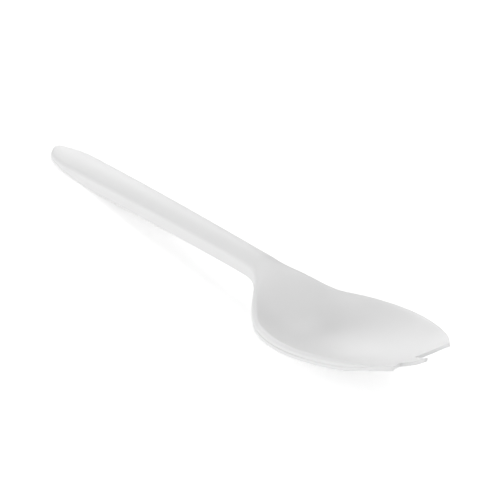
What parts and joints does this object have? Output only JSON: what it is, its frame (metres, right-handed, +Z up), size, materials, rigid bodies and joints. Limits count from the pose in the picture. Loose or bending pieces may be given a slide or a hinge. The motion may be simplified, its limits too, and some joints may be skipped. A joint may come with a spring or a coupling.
{
  "type": "spork",
  "caption": "White disposable plastic spork: shallow bowl with a turned-down rim and short tines at its front, on a long handle with a hollow back. Lies face up.",
  "frame": {"origin": "Under the middle of the spork's bounding box, on the surface that the spork lies on.", "axes": "+X from the handle end to the tines, +Y to the left when looking along +X, +Z up out of the bowl."},
  "size_m": [0.1456, 0.0346, 0.0158],
  "materials": {
    "plastic": "satin white polypropylene, slightly glossy"
  },
  "bodies": {
    "root": {"handle_end": "plastic", "handle": "plastic", "handle_left_skirt": "plastic", "handle_right_skirt": "plastic", "neck": "plastic", "neck_left_skirt": "plastic", "neck_right_skirt": "plastic", "bowl": "plastic", "bowl_left_skirt": "plastic", "bowl_right_skirt": "plastic", "left_tine": "plastic", "centre_tine": "plastic", "right_tine": "plastic"}
  },
  "joints": []
}
